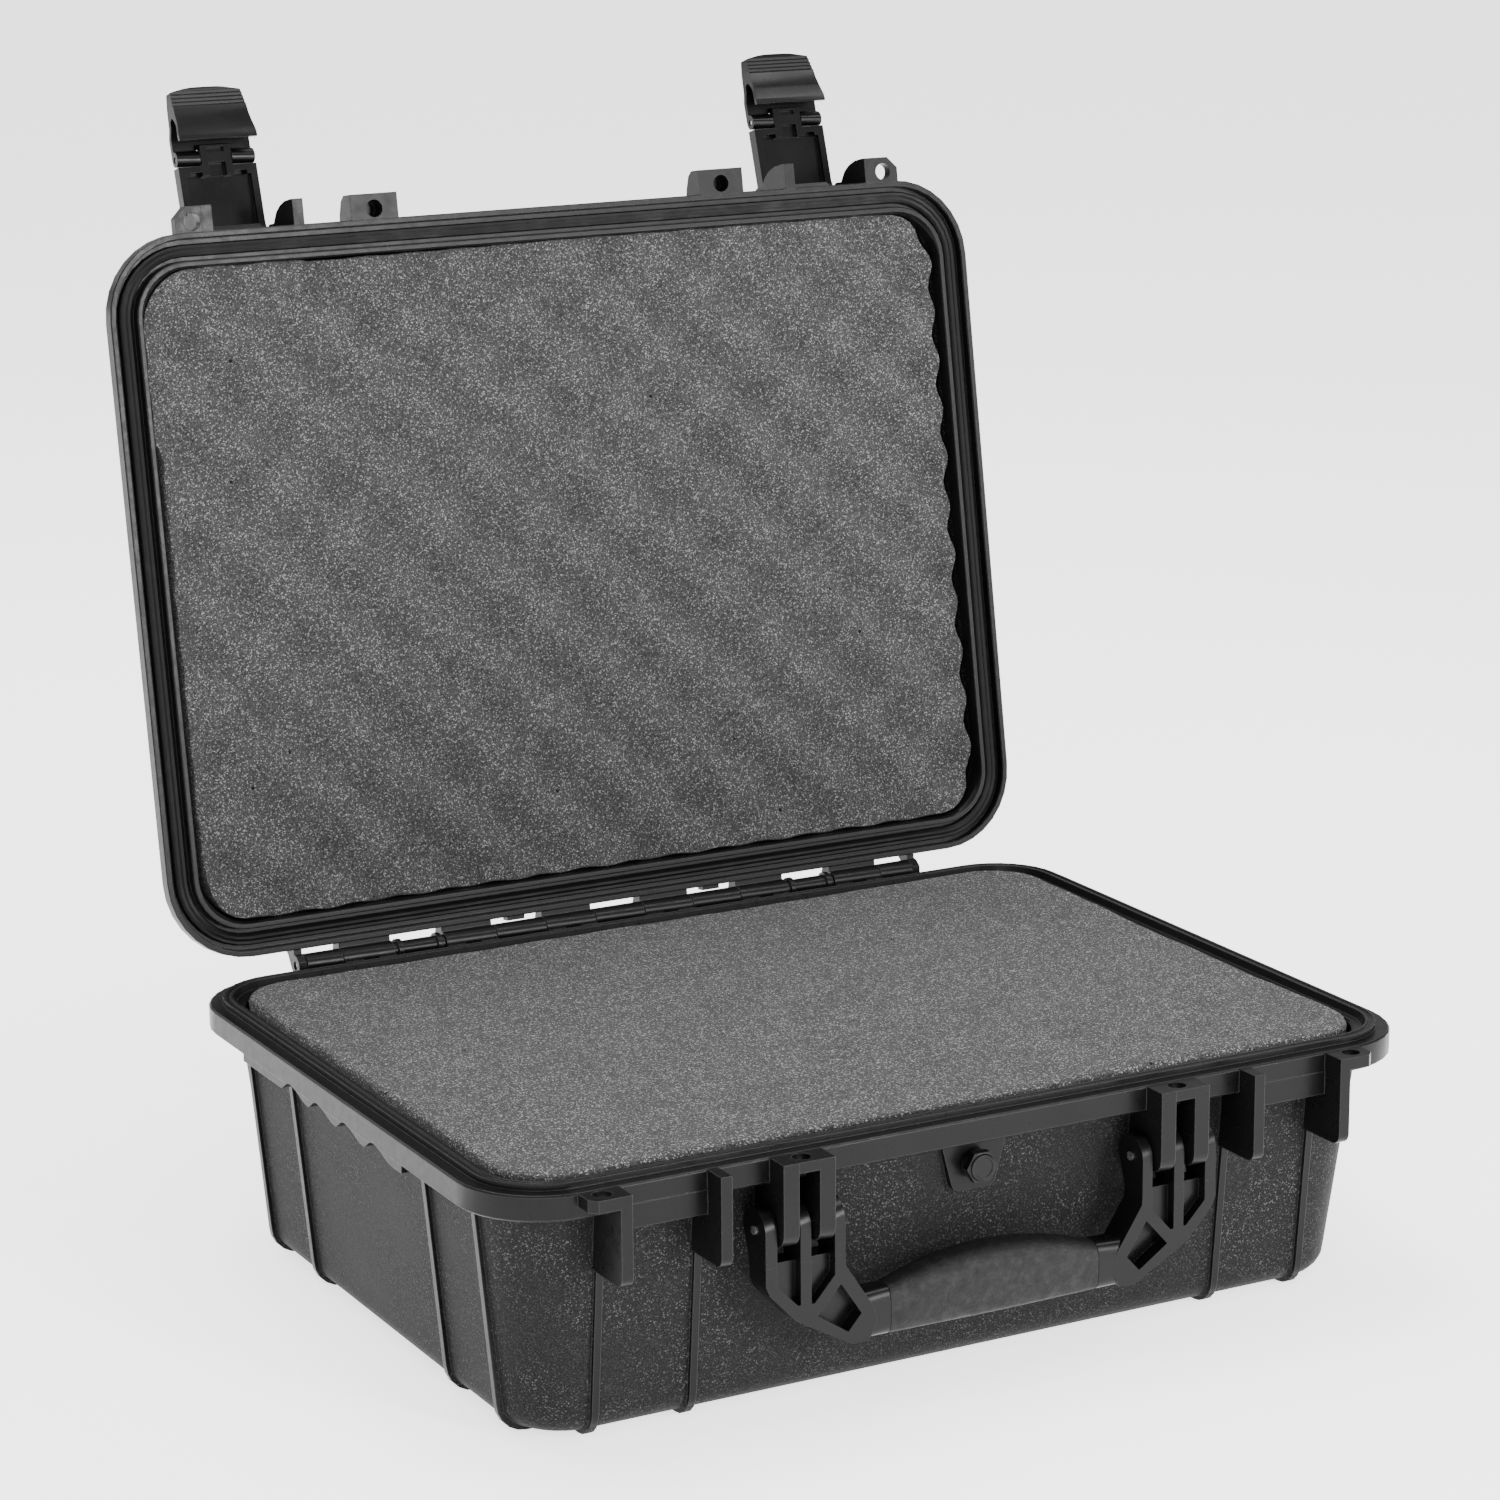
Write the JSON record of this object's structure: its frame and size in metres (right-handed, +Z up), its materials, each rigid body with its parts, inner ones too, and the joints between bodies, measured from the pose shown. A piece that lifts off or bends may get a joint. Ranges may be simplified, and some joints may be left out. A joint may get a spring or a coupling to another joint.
{
  "type": "hard equipment case",
  "caption": "Hard moulded equipment case standing open, with a foam-filled base, a foam-lined lid on a knuckle hinge, double-throw latches, a swing handle and a purge valve.",
  "frame": {"origin": "centre of the resting face under the base, on the floor", "axes": "+Z up, +X to the case's right seen from its front, -Y towards the front with the latches and handle"},
  "size_m": [0.47, 0.4879, 0.5346],
  "materials": {
    "shell_plastic": "finely textured black moulded polypropylene",
    "latch_plastic": "satin black ABS",
    "grip_rubber": "mottled matt over-moulded rubber",
    "seal_rubber": "smooth black sealing rubber",
    "foam": "open-cell dark grey polyurethane foam",
    "pin_steel": "ground stainless steel"
  },
  "bodies": {
    "base": {"base_shell": "shell_plastic", "base_foam_pad": "foam", "base_foam_middle": "foam", "base_foam_top": "foam", "valve_body": "shell_plastic", "valve_nut": "shell_plastic", "valve_o_ring": "seal_rubber", "hinge_pin": "pin_steel", "handle_pin_left": "pin_steel", "handle_pin_right": "pin_steel"},
    "lid": {"lid_shell": "shell_plastic", "lid_gasket": "seal_rubber", "lid_foam": "foam", "latch_pin_left": "pin_steel", "latch_pin_right": "pin_steel"},
    "latch_left": {"latch_arm_left": "latch_plastic", "latch_lever_pin_left": "pin_steel"},
    "latch_right": {"latch_arm_right": "latch_plastic", "latch_lever_pin_right": "pin_steel"},
    "lever_left": {"latch_lever_left": "latch_plastic"},
    "lever_right": {"latch_lever_right": "latch_plastic"},
    "handle": {"handle_frame": "latch_plastic", "handle_grip": "grip_rubber"},
    "valve_knob": {"valve_cap": "latch_plastic"}
  },
  "joints": [
    {"name": "lid_hinge", "type": "hinge", "parent": "base", "child": "lid", "pos_m": [0, 0.1813, 0.1227], "axis": [1, 0, 0], "range_deg": [0, 99.6]},
    {"name": "latch_hinge_left", "type": "hinge", "parent": "lid", "child": "latch_left", "pos_m": [-0.1583, 0.26778, 0.46431], "axis": [1, 0, 0], "range_deg": [0, 98.5]},
    {"name": "latch_lever_hinge_left", "type": "hinge", "parent": "latch_left", "child": "lever_left", "pos_m": [-0.1583, 0.28885, 0.50109], "axis": [-1, 0, 0], "range_deg": [0, 80]},
    {"name": "latch_hinge_right", "type": "hinge", "parent": "lid", "child": "latch_right", "pos_m": [0.1583, 0.26778, 0.46431], "axis": [1, 0, 0], "range_deg": [0, 98.5]},
    {"name": "latch_lever_hinge_right", "type": "hinge", "parent": "latch_right", "child": "lever_right", "pos_m": [0.1583, 0.28885, 0.50109], "axis": [-1, 0, 0], "range_deg": [0, 80]},
    {"name": "handle_hinge", "type": "hinge", "parent": "base", "child": "handle", "pos_m": [0, -0.17195, 0.0902], "axis": [-1, 0, 0], "range_deg": [0, 90]},
    {"name": "valve_knob_turn", "type": "hinge", "parent": "base", "child": "valve_knob", "pos_m": [0, -0.16855, 0.0974], "axis": [0, -1, 0], "range_deg": [0, 360]}
  ]
}
